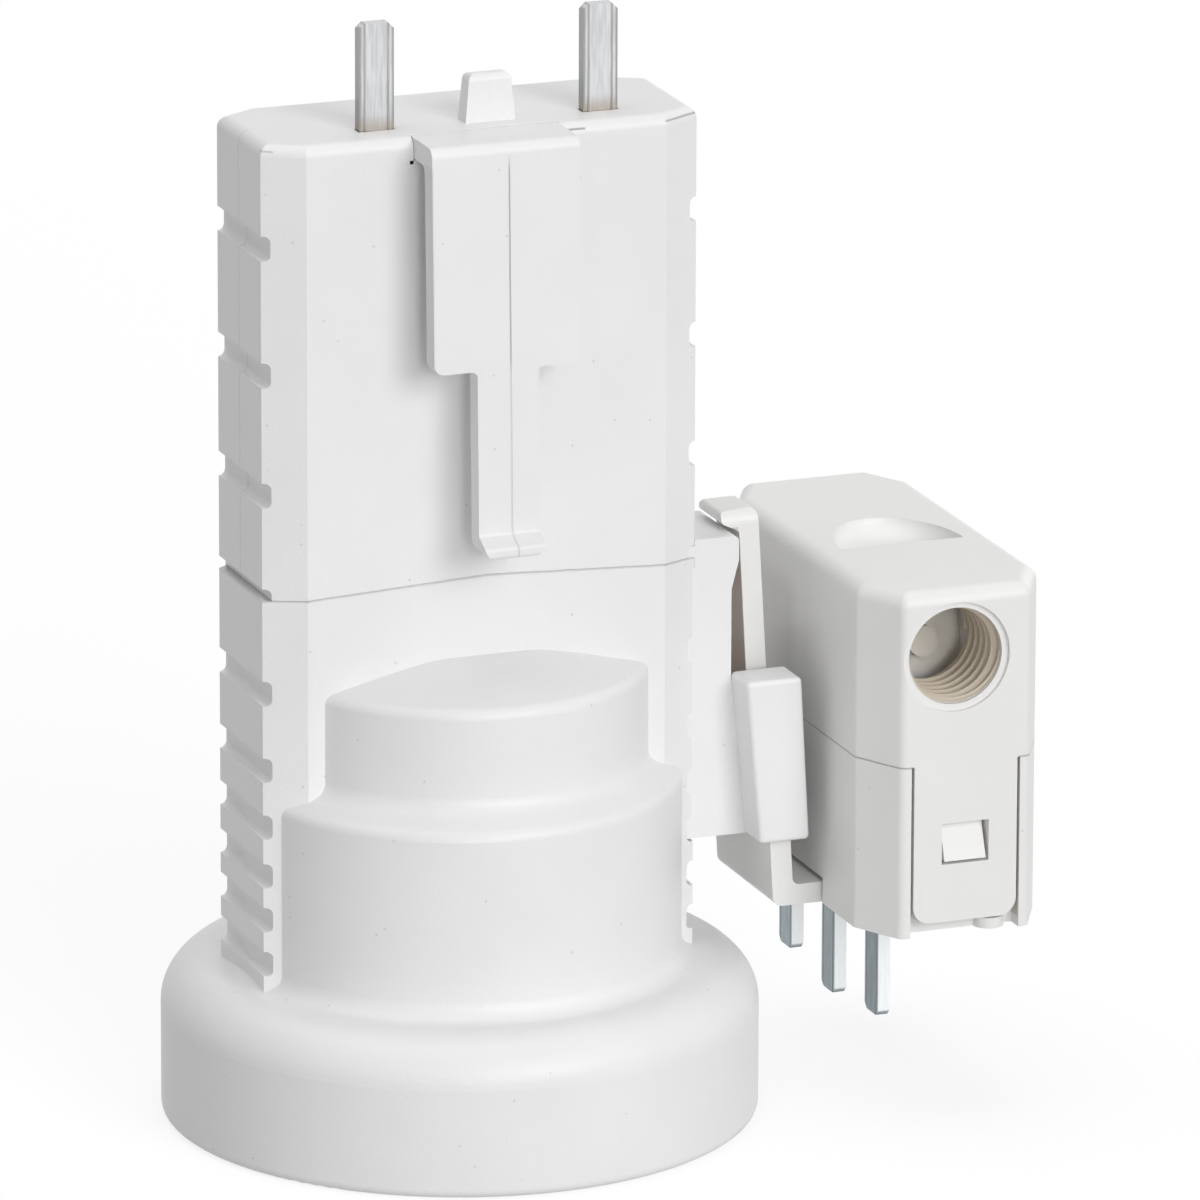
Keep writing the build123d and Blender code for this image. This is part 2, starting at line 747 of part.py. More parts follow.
def terminal(step):
    """Return the brass block that clamps a wire beside its blade."""
    y = plug_y + step * blade_pitch
    x0 = plug_blade_x + blade_thickness / 2
    low = plug_bottom + plug_floor
    body = block(x0, x0 + terminal_depth, y - terminal_width / 2, y + terminal_width / 2,
                 low, low + terminal_height)
    body = chamfer(body.edges().filter_by(Axis.Z), 0.4)
    wire = Pos(x0 + terminal_depth / 2, y, low + wire_hole_height) * Rot(90, 0, 90) * Cylinder(
        wire_hole_radius, 2 * terminal_depth)
    tapped = disc(screw_radius, low + wire_hole_height, plug_seam, x0 + terminal_depth / 2, y)
    return body - wire - tapped


def terminal_screw(step):
    """Return a slotted clamping screw that stands in its terminal."""
    y = plug_y + step * blade_pitch
    x = plug_blade_x + blade_thickness / 2 + terminal_depth / 2
    top = plug_bottom + plug_floor + terminal_height + 0.4
    shank = disc(screw_radius, top - screw_length, top, x, y)
    head = disc(screw_head_radius, top, top + screw_head_height, x, y)
    slot = block(x - screw_head_radius, x + screw_head_radius, y - screw_slot / 2,
                 y + screw_slot / 2, top + screw_head_height / 2, top + 2 * screw_head_height)
    return shank + head - slot


def main():
    """Build every piece and write one file for each."""
    pieces = {
        "lower_housing": lower_housing(),
        "head_front_shell": head_front_shell(),
        "head_rear_shell": head_rear_shell(),
        "front_lever": front_lever(),
        "head_blade_left": head_blade(-1),
        "head_blade_right": head_blade(1),
        "screw_shell": screw_shell(),
        "contact_carrier": contact_carrier(),
        "contact_foot": contact_foot(),
        "centre_contact": centre_contact(),
        "line_busbar": busbar(-1, line_rivet_x, 0),
        "neutral_busbar": busbar(1, neutral_rivet_x, neutral_rivet_y),
        "carrier_rivets": Compound(children=carrier_rivets()),
        "plug_cover": plug_cover(),
        "plug_base": plug_base(),
        "plug_lever": plug_lever(),
    }
    for step, name in ((-1, "line"), (0, "earth"), (1, "neutral")):
        pieces[f"plug_blade_{name}"] = plug_blade(step)
        pieces[f"terminal_{name}"] = terminal(step)
    pieces["terminal_screws"] = Compound(children=[terminal_screw(step) for step in (-1, 0, 1)])
    os.makedirs("parts", exist_ok=True)
    for name, piece in pieces.items():
        export_step(piece, f"parts/{name}.step")


main()
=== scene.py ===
"""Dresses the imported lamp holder: finishes, mould marks, cable thread, webs, studio, camera.

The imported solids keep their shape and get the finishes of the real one. A mesh is added only
where the photograph shows more than the solids hold. Sizes in the classes are in millimetres
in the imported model's frame, and meshes are made in metres.
"""
import logging
import math
from dataclasses import dataclass, field
from enum import Enum
from functools import cached_property

import bmesh
import bpy
from mathutils import Matrix, Vector


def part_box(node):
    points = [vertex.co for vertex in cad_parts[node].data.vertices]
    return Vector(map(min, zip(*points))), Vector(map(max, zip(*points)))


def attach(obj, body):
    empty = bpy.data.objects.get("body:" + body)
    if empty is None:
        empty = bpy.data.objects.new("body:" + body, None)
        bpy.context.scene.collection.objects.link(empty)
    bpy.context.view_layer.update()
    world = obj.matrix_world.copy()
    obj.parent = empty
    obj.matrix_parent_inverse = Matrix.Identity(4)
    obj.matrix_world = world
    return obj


MM = 0.001
LOG = logging.getLogger("lamp_holder")
NOISE_MIDDLE = 0.5
WHITE_LIGHT = (1.0, 1.0, 1.0, 1.0)

Socket = bpy.types.NodeSocket
Colour = tuple[float, float, float]
Point = tuple[float, float, float]
Feed = Socket | float | tuple[float, ...]


class Sum(Enum):
    """The sums that the finishes are worked out with."""

    ADD = "ADD"
    SUBTRACT = "SUBTRACT"
    MULTIPLY = "MULTIPLY"
    DIVIDE = "DIVIDE"
    ABSOLUTE = "ABSOLUTE"
    GREATER = "GREATER_THAN"
    MAXIMUM = "MAXIMUM"


class Across(Enum):
    """The direction that a thin mark or a width is measured across."""

    X = 0
    Y = 1
    Z = 2
    GABLE = 3


class Detail(Enum):
    """How many finer waves a noise has laid over its first."""

    LITTLE = 2.0
    SOME = 3.0
    MUCH = 4.0


class Wiring:
    """Adds nodes to one node tree and links them."""

    def __init__(self, tree: bpy.types.NodeTree) -> None:
        """Keep the tree that the nodes go to."""
        self.tree = tree

    def add(self, kind: str, **settings: object) -> bpy.types.Node:
        """Add one node.

        Args:
            kind: Blender's name for the kind of node.
            settings: The node's own settings, by name.

        Returns:
            The new node.
        """
        node = self.tree.nodes.new(kind)
        for name, value in settings.items():
            setattr(node, name, value)
        return node

    def feed(self, socket: Socket, value: Feed) -> None:
        """Link a socket, or set it to a constant.

        Args:
            socket: The input.
            value: What it gets.
        """
        if isinstance(value, bpy.types.NodeSocket):
            self.tree.links.new(value, socket)
        else:
            socket.default_value = value

    def fill(self, node: bpy.types.Node, **values: Feed) -> bpy.types.Node:
        """Feed some of a node's inputs.

        Args:
            node: The node.
            values: The inputs by name, with _ for a space.

        Returns:
            The same node.
        """
        for name, value in values.items():
            self.feed(node.inputs[name.replace("_", " ")], value)
        return node

    def join(self, kind: str, *terms: Feed, **settings: object) -> Socket:
        """Add a node and feed its inputs in their order.

        Args:
            kind: Blender's name for the kind of node.
            terms: What the inputs get.
            settings: The node's own settings, by name.

        Returns:
            The node's first output.
        """
        node = self.add(kind, **settings)
        for place, term in enumerate(terms):
            self.feed(node.inputs[place], term)
        return node.outputs[0]

    def sum(self, kind: Sum, *terms: Feed) -> Socket:
        """Work out one sum of one or two values."""
        return self.join("ShaderNodeMath", *terms, operation=kind.value)

    def rise(self, value: Feed, low: Feed, high: Feed) -> Socket:
        """Go smoothly from 0 where the value is low to 1 where it is high."""
        node = self.add("ShaderNodeMapRange", interpolation_type="SMOOTHSTEP")
        return self.fill(node, Value=value, From_Min=low, From_Max=high).outputs[0]

    def mix(self, share: Feed, first: Feed, second: Feed) -> Socket:
        """Mix two colours.

        Args:
            share: How much of the second colour, from 0 to 1.
            first: The colour at 0.
            second: The colour at 1.

        Returns:
            The socket that holds the mixed colour.
        """
        node = self.add("ShaderNodeMix", data_type="RGBA")
        places = {socket.identifier: socket for socket in node.inputs}
        for name, term in (("Factor_Float", share), ("A_Color", first), ("B_Color", second)):
            colour = isinstance(term, tuple) and len(term) == 3
            self.feed(places[name], (*term, 1.0) if colour else term)
        return next(socket for socket in node.outputs if socket.identifier == "Result_Color")

    def noise(self, vector: Feed, scale: Feed, detail: Detail) -> Socket:
        """Add a noise of about 0.5 on average, with scale as its waves for each unit."""
        node = self.add("ShaderNodeTexNoise")
        return self.fill(node, Vector=vector, Scale=scale, Detail=detail.value).outputs[0]

    def split(self, vector: Socket) -> bpy.types.Node:
        """Return a node that gives the three coordinates of a vector apart."""
        return self.fill(self.add("ShaderNodeSeparateXYZ"), Vector=vector)

    def group(self, tree: bpy.types.NodeTree, **values: Feed) -> bpy.types.Node:
        """Place a node group, with its inputs by name and _ for a space."""
        return self.fill(self.add("ShaderNodeGroup", node_tree=tree), **values)


@dataclass(frozen=True)
class Patterns:
    """The scales of the shared node groups, in waves for each millimetre.

    Attributes:
        mottle, stray: The slow mottling of a moulding, and the wavering of a thin line.
        streak, stain: The streaks of drawn metal, across their length, and its stains.
        speck_size, speck_soft: A speck's radius and its soft rim, as shares of its cell.
    """

    mottle: float = 0.11
    stray: float = 0.6
    streak: float = 5.0
    stain: float = 0.7
    speck_size: float = 0.24
    speck_soft: float = 0.1


class Toolbox:
    """The shader node groups that several finishes share, each built once."""

    def __init__(self) -> None:
        """Build every group. Coordinates and sizes in them are in millimetres."""
        self.patterns = Patterns()
        self.grain = self._grain()
        self.line = self._line()
        self.between = self._between()
        self.specks = self._specks()
        self.drawn = self._drawn()

    @staticmethod
    def _start(name: str, takes: tuple[str, ...],
               gives: tuple[str, ...]) -> tuple[Wiring, bpy.types.Node, bpy.types.Node]:
        """Start a group with its named sockets.

        Args:
            name: The group's name.
            takes: Its inputs. The one called Vector holds coordinates.
            gives: Its outputs.

        Returns:
            The wiring of the new group, its input node and its output node.
        """
        tree = bpy.data.node_groups.new(name, "ShaderNodeTree")
        for label in takes:
            kind = "NodeSocketVector" if label == "Vector" else "NodeSocketFloat"
            tree.interface.new_socket(name=label, in_out="INPUT", socket_type=kind)
        for label in gives:
            tree.interface.new_socket(name=label, in_out="OUTPUT", socket_type="NodeSocketFloat")
        return Wiring(tree), tree.nodes.new("NodeGroupInput"), tree.nodes.new("NodeGroupOutput")

    def _grain(self) -> bpy.types.NodeTree:
        """Build the grain of a spark-eroded mould, with slow mottling and flow.

        Returns:
            The group.
        """
        wires, takes, gives = self._start("Mould_Grain", ("Vector", "Fineness"),
                                          ("Height", "Mottle"))
        vector = takes.outputs["Vector"]
        fine = wires.noise(vector, takes.outputs["Fineness"], Detail.LITTLE)
        slow = wires.noise(vector, self.patterns.mottle, Detail.LITTLE)
        wires.feed(gives.inputs["Height"], fine)
        wires.feed(gives.inputs["Mottle"], slow)
        return wires.tree

    def _line(self) -> bpy.types.NodeTree:
        """Build a thin line that wavers a little, where a distance is near nought.

        Returns:
            The group.
        """
        wires, takes, gives = self._start("Thin_Line", ("Vector", "Distance", "Width", "Waver"),
                                          ("Line",))
        stray = wires.noise(takes.outputs["Vector"], self.patterns.stray, Detail.SOME)
        stray = wires.sum(Sum.SUBTRACT, stray, NOISE_MIDDLE)
        stray = wires.sum(Sum.MULTIPLY, stray, takes.outputs["Waver"])
        away = wires.sum(Sum.ADD, takes.outputs["Distance"], stray)
        away = wires.sum(Sum.ABSOLUTE, away)
        wires.feed(gives.inputs["Line"], wires.rise(away, takes.outputs["Width"], 0.0))
        return wires.tree

    def _between(self) -> bpy.types.NodeTree:
        """Build a band that is 1 between two values, with soft ends.

        Returns:
            The group.
        """
        wires, takes, gives = self._start("Between", ("Value", "Low", "High", "Soft"), ("Band",))
        value, low, high, soft = (takes.outputs[n] for n in ("Value", "Low", "High", "Soft"))
        up = wires.rise(value, wires.sum(Sum.SUBTRACT, low, soft), low)
        down = wires.rise(value, wires.sum(Sum.ADD, high, soft), high)
        wires.feed(gives.inputs["Band"], wires.sum(Sum.MULTIPLY, up, down))
        return wires.tree

    def _specks(self) -> bpy.types.NodeTree:
        """Build small dark specks of dust and pigment, in a few of many cells.

        Returns:
            The group.
        """
        wires, takes, gives = self._start("Specks", ("Vector", "Spacing", "Share"), ("Speck",))
        cells = wires.add("ShaderNodeTexVoronoi")
        wires.feed(cells.inputs["Vector"], takes.outputs["Vector"])
        wires.feed(cells.inputs["Scale"], wires.sum(Sum.DIVIDE, 1.0, takes.outputs["Spacing"]))
        lot = wires.join("ShaderNodeSeparateColor", cells.outputs["Color"])
        drawn = wires.sum(Sum.SUBTRACT, takes.outputs["Share"], lot)
        chosen = wires.sum(Sum.GREATER, drawn, 0.0)
        size = wires.sum(Sum.MULTIPLY, chosen, self.patterns.speck_size)
        near = wires.sum(Sum.SUBTRACT, size, cells.outputs["Distance"])
        wires.feed(gives.inputs["Speck"], wires.rise(near, 0.0, self.patterns.speck_soft))
        return wires.tree

    def _drawn(self) -> bpy.types.NodeTree:
        """Build the long fine streaks that rolling and drawing leave on metal.

        Returns:
            The group.
        """
        wires, takes, gives = self._start("Drawn_Streaks", ("Vector", "Length"),
                                          ("Streak", "Stain"))
        vector = takes.outputs["Vector"]
        apart = wires.split(vector)
        shorter = wires.sum(Sum.DIVIDE, apart.outputs[2], takes.outputs["Length"])
        joined = wires.join("ShaderNodeCombineXYZ", apart.outputs[0], apart.outputs[1], shorter)
        streak = wires.noise(joined, self.patterns.streak, Detail.MUCH)
        stain = wires.noise(vector, self.patterns.stain, Detail.SOME)
        wires.feed(gives.inputs["Streak"], streak)
        wires.feed(gives.inputs["Stain"], stain)
        return wires.tree


@dataclass(frozen=True)
class Box:
    """A box with soft sides, in millimetres."""

    low: Point
    high: Point
    soft: float = 0.3


@dataclass(frozen=True)
class Mark:
    """A thin dark line where two mouldings or two halves of the mould meet.

    Attributes:
        across: The direction that the distance to the line is measured in.
        place: Where the line lies in that direction, or its height at the middle for a gable.
        room: The box that the line is drawn in.
        width: Half the line's width.
        dark: How dark it is, from 0 to 1.
        deep: How deep it is.
    """

    across: Across
    place: float
    room: Box
    width: float
    dark: float
    deep: float


@dataclass(frozen=True)
class Tint:
    """A part of a surface that has another colour.

    Attributes:
        room: The box that is tinted.
        colour: The colour there.
        share: How strong it is, from 0 to 1.
        broken: How much of it a noise takes away again, from 0 to 1.
    """

    room: Box
    colour: Colour
    share: float
    broken: float = 0.0


class Canvas(Wiring):
    """The wiring of one new material, on Object coordinates in millimetres."""

    def __init__(self, name: str, tools: Toolbox) -> None:
        """Start the material.

        Args:
            name: The material's name.
            tools: The shared node groups.
        """
        self.material = bpy.data.materials.new(name)
        self.material.use_nodes = True
        super().__init__(self.material.node_tree)
        self.tools = tools
        place = self.add("ShaderNodeTexCoord")
        scaled = self.add("ShaderNodeMapping", vector_type="POINT")
        self.fill(scaled, Scale=(1 / MM, 1 / MM, 1 / MM), Vector=place.outputs["Object"])
        self.vector = scaled.outputs[0]

    @cached_property
    def apart(self) -> bpy.types.Node:
        """The node that gives the three coordinates apart."""
        return self.split(self.vector)

    def inside(self, room: Box) -> Socket:
        """Return 1 inside a box and 0 outside it."""
        x, y, z = (self.group(self.tools.between, Value=self.apart.outputs[way],
                              Low=room.low[way], High=room.high[way],
                              Soft=room.soft).outputs["Band"] for way in range(3))
        return self.sum(Sum.MULTIPLY, self.sum(Sum.MULTIPLY, x, y), z)

    def line(self, mark: Mark, waver: float) -> Socket:
        """Draw the line of a mark.

        Args:
            mark: The mark.
            waver: How far its line wavers, in millimetres.

        Returns:
            The socket that is 1 on the line and 0 beside it.
        """
        if mark.across is Across.GABLE:
            fall = self.sum(Sum.MULTIPLY, self.sum(Sum.ABSOLUTE, self.apart.outputs[0]),
                            HeadSizes.seam_rise / HeadSizes.half_width)
            level = self.sum(Sum.ADD, self.apart.outputs[2], fall)
        else:
            level = self.apart.outputs[mark.across.value]
        away = self.sum(Sum.SUBTRACT, level, mark.place)
        line = self.group(self.tools.line, Vector=self.vector, Distance=away, Width=mark.width,
                          Waver=waver).outputs["Line"]
        return self.sum(Sum.MULTIPLY, line, self.inside(mark.room))

    def finish(self, height: Socket, **values: Feed) -> bpy.types.Material:
        """Feed the shader.

        Args:
            height: The surface's height in millimetres.
            values: The shader's other inputs by name, with _ for a space.

        Returns:
            The material.
        """
        bump = self.fill(self.add("ShaderNodeBump"), Strength=1.0, Distance=MM, Height=height)
        self.fill(self.tree.nodes["Principled BSDF"], Normal=bump.outputs[0], **values)
        return self.material


@dataclass(frozen=True)
class Finish:
    """What every finish has."""

    name: str
    colour: Colour
    roughness: float


@dataclass(frozen=True)
class MouldedPlastic(Finish):
    """Satin plastic from a spark-eroded mould.

    Attributes:
        pale: The colour of the paler patches.
        fineness: Grains for each millimetre.
        grain: How deep the grain is, in millimetres.
        dust, dust_spacing: The share of cells with a dark speck, and the cells' width.
        dust_colour, dust_strength: The colour of a speck, and its strength.
        line_colour, line_waver: The colour of the marks, and how far they waver.
        patch_scale, patch_start, patch_full: The gaps in a broken tint: the noise's scale, and
            the noise below which a gap starts and is whole.
        satin: How much rougher the palest patches are than the darkest.
        specular: The strength of its reflections.
    """

    pale: Colour = (0.86, 0.86, 0.86)
    fineness: float = 2.6
    grain: float = 0.022
    dust: float = 0.014
    dust_spacing: float = 0.62
    dust_colour: Colour = (0.30, 0.27, 0.23)
    dust_strength: float = 0.24
    line_colour: Colour = (0.16, 0.15, 0.14)
    line_waver: float = 0.08
    patch_scale: float = 1.3
    patch_start: float = 0.62
    patch_full: float = 0.42
    satin: float = 0.16
    specular: float = 0.4

    def material(self, tools: Toolbox, label: str, marks: tuple[Mark, ...] = (),
                 tints: tuple[Tint, ...] = ()) -> bpy.types.Material:
        """Make the plastic of one moulding.

        Args:
            tools: The shared node groups.
            label: The moulding's name.
            marks: The thin lines on it.
            tints: The parts of it with another colour.

        Returns:
            The material.
        """
        wires = Canvas(f"{self.name}_{label}", tools)
        vector = wires.vector
        grain = wires.group(tools.grain, Vector=vector, Fineness=self.fineness)
        colour = wires.mix(grain.outputs["Mottle"], self.colour, self.pale)
        for tint in tints:
            share = wires.sum(Sum.MULTIPLY, wires.inside(tint.room), tint.share)
            if tint.broken:
                patch = wires.noise(vector, self.patch_scale, Detail.SOME)
                patch = wires.rise(patch, self.patch_start, self.patch_full)
                patch = wires.sum(Sum.MULTIPLY, patch, tint.broken)
                share = wires.sum(Sum.MULTIPLY, share, wires.sum(Sum.SUBTRACT, 1.0, patch))
            colour = wires.mix(share, colour, tint.colour)
        speck = wires.group(tools.specks, Vector=vector, Spacing=self.dust_spacing,
                            Share=self.dust)
        shade = wires.sum(Sum.MULTIPLY, speck.outputs["Speck"], self.dust_strength)
        colour = wires.mix(shade, colour, self.dust_colour)
        height = wires.sum(Sum.MULTIPLY, grain.outputs["Height"], self.grain)
        for mark in marks:
            line = wires.line(mark, self.line_waver)
            shade = wires.sum(Sum.MULTIPLY, line, mark.dark)
            colour = wires.mix(shade, colour, self.line_colour)
            height = wires.sum(Sum.SUBTRACT, height, wires.sum(Sum.MULTIPLY, line, mark.deep))
        rough = wires.sum(Sum.MULTIPLY, grain.outputs["Mottle"], self.satin)
        rough = wires.sum(Sum.ADD, rough, self.roughness - self.satin * NOISE_MIDDLE)
        return wires.finish(height, Base_Color=colour, Roughness=rough,
                            Specular_IOR_Level=self.specular)


@dataclass(frozen=True)
class PlatedBlade(Finish):
    """Drawn and plated metal of a contact blade; its sides and two fold lines carry painted light.

    Attributes:
        edge: The colour of its narrow sides, painted in place of how they catch the light.
        crease: The colour of the fold lines, a painted shade in their creases.
        fold: How far the fold lines lie from the blade's middle.
        streak: How long the drawing streaks are, against their width.
        depth: How much darker the streaks are, from 0 to 1.
        streak_dull, streak_bright: The noise where a streak is darkest and brightest.
        streak_rough, streak_height: How rough the streaks are, and how high in millimetres.
        fold_width, fold_waver: Half the width of a fold line, and how far it wavers.
        fold_strength, fold_depth: How strong its colour is, and how deep it is.
        rim_start, rim_full, rim_strength: Where the sides' colour starts outside it and is
            whole, and its strength.
        foot_colour, foot_strength: The shade where the blade comes out of the moulding.
        foot_reach, foot_full: How far along the blade it reaches, and is whole.
        stain_rough: How much rougher the stains are.
    """

    edge: Colour = (0.22, 0.22, 0.22)
    crease: Colour = (0.22, 0.22, 0.22)
    fold: float = 1.02
    streak: float = 14.0
    depth: float = 0.12
    streak_dull: float = 0.35
    streak_bright: float = 0.65
    streak_rough: float = 0.22
    streak_height: float = 0.012
    fold_width: float = 0.16
    fold_waver: float = 0.1
    fold_strength: float = 0.55
    fold_depth: float = 0.05
    rim_start: float = 0.18
    rim_full: float = 0.42
    rim_strength: float = 0.75
    foot_colour: Colour = (0.33, 0.27, 0.20)
    foot_reach: float = 1.6
    foot_full: float = 0.1
    foot_strength: float = 0.6
    stain_rough: float = 0.1

    def material(self, tools: Toolbox, label: str, across: Across, middle: float,
                 root: float) -> bpy.types.Material:
        """Make the metal of one blade.

        Args:
            tools: The shared node groups.
            label: The blade's name.
            across: The direction of its width.
            middle: Where its middle lies in that direction.
            root: The height where it comes out of the moulding.

        Returns:
            The material.
        """
        wires = Canvas(f"{self.name}_{label}", tools)
        drawn = wires.group(tools.drawn, Vector=wires.vector, Length=self.streak)
        streak, stain = drawn.outputs["Streak"], drawn.outputs["Stain"]
        off = wires.sum(Sum.SUBTRACT, wires.apart.outputs[across.value], middle)
        side = wires.sum(Sum.ABSOLUTE, off)
        fold = wires.group(tools.line, Vector=wires.vector, Width=self.fold_width,
                           Distance=wires.sum(Sum.SUBTRACT, side, self.fold),
                           Waver=self.fold_waver).outputs["Line"]
        rim = wires.rise(side, self.fold + self.rim_start, self.fold + self.rim_full)
        dull = tuple((1.0 - self.depth) * c for c in self.colour)
        bright = wires.rise(streak, self.streak_dull, self.streak_bright)
        colour = wires.mix(bright, dull, self.colour)
        # Painted light: the narrow sides take the edge colour, and the fold lines the crease
        # colour.
        colour = wires.mix(wires.sum(Sum.MULTIPLY, rim, self.rim_strength), colour, self.edge)
        colour = wires.mix(wires.sum(Sum.MULTIPLY, fold, self.fold_strength), colour, self.crease)
        above = wires.sum(Sum.ABSOLUTE, wires.sum(Sum.SUBTRACT, wires.apart.outputs[2], root))
        foot = wires.rise(above, self.foot_reach, self.foot_full)
        foot = wires.sum(Sum.MULTIPLY, foot, self.foot_strength)
        colour = wires.mix(foot, colour, self.foot_colour)
        rough = wires.sum(Sum.MULTIPLY, streak, self.streak_rough)
        rough = wires.sum(Sum.ADD, rough, self.roughness - self.streak_rough * NOISE_MIDDLE)
        rough = wires.sum(Sum.ADD, rough, wires.sum(Sum.MULTIPLY, stain, self.stain_rough))
        sunk = wires.sum(Sum.MULTIPLY, fold, self.fold_depth)
        height = wires.sum(Sum.MULTIPLY, streak, self.streak_height)
        height = wires.sum(Sum.SUBTRACT, height, sunk)
        return wires.finish(height, Base_Color=colour, Roughness=rough, Metallic=1.0)


@dataclass(frozen=True)
class StampedMetal(Finish):
    """Stamped or turned metal with a slight tarnish.

    Attributes:
        tarnish: The colour where it has tarnished.
        stained: How strong the tarnish is, from 0 to 1.
        stain_start, stain_full: The noise where the tarnish starts, and is whole.
        stain_rough: How much rougher it is there.
        streak, streak_height: How long the streaks are, against their width, and how high.
        fineness, grain: Grains for each millimetre, and how deep they are.
    """

    tarnish: Colour = (0.40, 0.26, 0.12)
    stained: float = 0.45
    stain_start: float = 0.42
    stain_full: float = 0.75
    stain_rough: float = 0.2
    streak: float = 3.0
    streak_height: float = 0.008
    fineness: float = 4.0
    grain: float = 0.006

    def material(self, tools: Toolbox, label: str) -> bpy.types.Material:
        """Make the metal of one piece.

        Args:
            tools: The shared node groups.
            label: The piece's name.

        Returns:
            The material.
        """
        wires = Canvas(f"{self.name}_{label}", tools)
        drawn = wires.group(tools.drawn, Vector=wires.vector, Length=self.streak)
        grain = wires.group(tools.grain, Vector=wires.vector, Fineness=self.fineness)
        stain = wires.rise(drawn.outputs["Stain"], self.stain_start, self.stain_full)
        colour = wires.mix(wires.sum(Sum.MULTIPLY, stain, self.stained), self.colour, self.tarnish)
        rough = wires.sum(Sum.ADD, wires.sum(Sum.MULTIPLY, stain, self.stain_rough), self.roughness)
        streaks = wires.sum(Sum.MULTIPLY, drawn.outputs["Streak"], self.streak_height)
        grains = wires.sum(Sum.MULTIPLY, grain.outputs["Height"], self.grain)
        height = wires.sum(Sum.ADD, streaks, grains)
        return wires.finish(height, Base_Color=colour, Roughness=rough, Metallic=1.0)


@dataclass(frozen=True)
class HeadSizes:
    """The sizes of the flat body and the head that the marks and webs follow.

    Attributes:
        half_width, flat_half: Half the whole width, and half the flat front's width.
        front, back: Where the front and the back lie.
        parting: Where the head's two shells meet.
        seam, seam_rise: The seam's height at the sides, and its rise to the middle.
        top: The height of the head's top.
    """

    half_width: float = 19.0
    flat_half: float = 15.7
    front: float = -6.6
    back: float = 7.9
    parting: float = 0.65
    seam: float = 47.0
    seam_rise: float = 0.9
    top: float = 85.6


WHITE = MouldedPlastic("white_moulding", (0.80, 0.80, 0.80), 0.42)
IVORY = MouldedPlastic("ivory_moulding", (0.80, 0.795, 0.783), 0.38, pale=(0.845, 0.842, 0.83),
                       grain=0.012)
PRESSED = MouldedPlastic("pressed_insulator", (0.62, 0.58, 0.50), 0.55, pale=(0.70, 0.66, 0.58),
                         fineness=1.6, grain=0.03, dust=0.08)
# The head's blades: painted shade on their narrow sides and in their fold lines.
BLADE = PlatedBlade("plated_blade", (0.60, 0.61, 0.62), 0.34)
# The plug's blades: a painted highlight on their narrow sides, painted shade in their fold lines.
DULL_BLADE = PlatedBlade("dull_blade", (0.40, 0.46, 0.49), 0.42, edge=(0.86, 0.87, 0.87),
                         crease=(0.12, 0.12, 0.12), fold=1.1, depth=0.25)
BRASS = StampedMetal("stamped_brass", (0.74, 0.58, 0.30), 0.26)
STEEL = StampedMetal("plated_steel", (0.58, 0.58, 0.59), 0.32, tarnish=(0.38, 0.37, 0.34),
                     stained=0.3)


def put_on(node: str, material: bpy.types.Material) -> None:
    """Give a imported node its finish.

    Args:
        node: The node's name.
        material: Its new material.
    """
    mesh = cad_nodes[node].data
    mesh.materials.clear()
    mesh.materials.append(material)
    LOG.info("%s wears %s", node, material.name)


def middle_of(node: str) -> Vector:
    """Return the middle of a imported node's box, in millimetres."""
    low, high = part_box(node)
    return (low + high) / (2 * MM)


@dataclass(frozen=True)
class HeadLines:
    """The thin lines of the body, the head and its lever.

    Attributes:
        past: How far a line's box reaches past a surface.
        seam_dark, seam_left_dark: How dark the seam is, and how dark on the left chamfer.
        seam_reach, seam_soft: How far up and down its box reaches, and how soft it is.
        parting_depth, parting_gap: How deep the parting line's box is, and how far above the
            seam it starts.
        flash: The stretches of the line below the top: left end, right end and darkness.
        flash_drop: How far below the top that line lies.
        flash_high, flash_deep, flash_soft: How high, deep and soft its box is.
        mould: Where the mould lines lie across the lever.
        mould_low, mould_high: The boxes of the lower and the upper one.
        lever_side_shade: A painted shade on the left side of the lever's plate.
    """

    past: float = 1.0
    seam_dark: float = 0.26
    seam_left_dark: float = 0.2
    seam_reach: float = 2.0
    seam_soft: float = 0.06
    parting_depth: float = 1.2
    parting_gap: float = 0.5
    flash: tuple[tuple[float, float, float], ...] = ((-20.0, -18.2, 0.35), (6.6, 8.4, 0.75),
                                                     (15.7, 20.0, 0.6))
    flash_drop: float = 0.55
    flash_high: float = 1.2
    flash_deep: float = 2.2
    flash_soft: float = 0.25
    mould: float = 0.25
    mould_low: Box = Box((-2.0, -30.0, 50.0), (3.0, -8.5, 66.0), 2.0)
    mould_high: Box = Box((-2.0, -30.0, 68.0), (3.0, -8.5, 83.0), 2.0)
    # A painted shade: the lever plate's left side is darkened as if in shadow.
    lever_side_shade: Tint = Tint(Box((-6.7, -12.5, 66.0), (-6.33, -9.0, 84.0), 0.06),
                            (0.46, 0.42, 0.38), 0.2)


